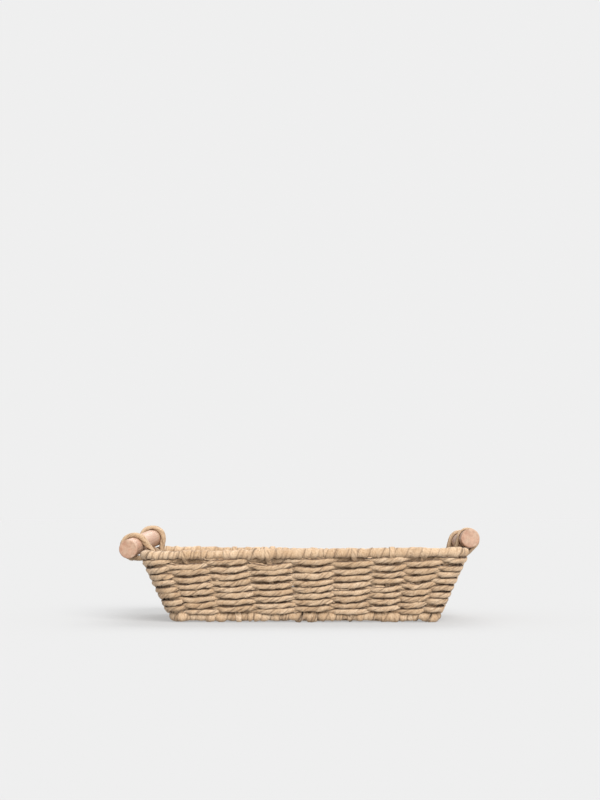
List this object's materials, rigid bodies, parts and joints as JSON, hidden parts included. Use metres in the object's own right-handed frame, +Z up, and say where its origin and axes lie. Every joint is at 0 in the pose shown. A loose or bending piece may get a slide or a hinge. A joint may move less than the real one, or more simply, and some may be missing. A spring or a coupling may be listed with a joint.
{
  "type": "bread basket",
  "caption": "Rectangular bread basket of woven paper rope with flared walls, a wrapped rim and a wooden dowel handle lashed to each end.",
  "frame": {"origin": "on the surface that the basket stands on, under the middle of its whole length with the handles and the middle of its width", "axes": "+X along the length towards the right-hand handle, +Y from the front wall to the back wall, +Z up"},
  "size_m": [0.371, 0.203, 0.0962],
  "materials": {
    "paper_rope": "matt twisted kraft paper",
    "wood": "sanded, unvarnished",
    "steel": "plain drawn wire"
  },
  "bodies": {
    "basket": {"rim_wire": "steel", "base_wire": "steel", "corner_post_front_left": "steel", "corner_post_front_right": "steel", "corner_post_back_right": "steel", "corner_post_back_left": "steel", "rim_wrap": "paper_rope", "base_wrap": "paper_rope", "cross_stake_1": "paper_rope", "cross_stake_2": "paper_rope", "cross_stake_3": "paper_rope", "cross_stake_4": "paper_rope", "cross_stake_5": "paper_rope", "cross_stake_6": "paper_rope", "cross_stake_7": "paper_rope", "left_end_stake_1": "paper_rope", "left_end_stake_2": "paper_rope", "left_end_stake_3": "paper_rope", "left_end_stake_4": "paper_rope", "right_end_stake_1": "paper_rope", "right_end_stake_2": "paper_rope", "right_end_stake_3": "paper_rope", "right_end_stake_4": "paper_rope", "wall_weaver_a": "paper_rope", "wall_weaver_b": "paper_rope", "base_weaver": "paper_rope"},
    "left_loops": {"left_front_loop": "paper_rope", "left_back_loop": "paper_rope"},
    "left_grip": {"left_dowel": "wood"},
    "right_loops": {"right_front_loop": "paper_rope", "right_back_loop": "paper_rope"},
    "right_grip": {"right_dowel": "wood"}
  },
  "joints": [
    {"name": "left_handle_swing", "type": "hinge", "parent": "basket", "child": "left_loops", "pos_m": [-0.1578, 0, 0.06865], "axis": [0, 1, 0.0078], "range_deg": [-20, 35]},
    {"name": "left_dowel_spin", "type": "hinge", "parent": "left_loops", "child": "left_grip", "pos_m": [-0.16744, 0, 0.07925], "axis": [0.1088, 0.9909, 0.0791], "continuous": true},
    {"name": "right_handle_swing", "type": "hinge", "parent": "basket", "child": "right_loops", "pos_m": [0.1642, 0, 0.0684], "axis": [0, -0.9995, 0.0312], "range_deg": [-45, 30]},
    {"name": "right_dowel_spin", "type": "hinge", "parent": "right_loops", "child": "right_grip", "pos_m": [0.17197, 0.00039, 0.08089], "axis": [0.0143, 0.9985, -0.052], "continuous": true}
  ]
}
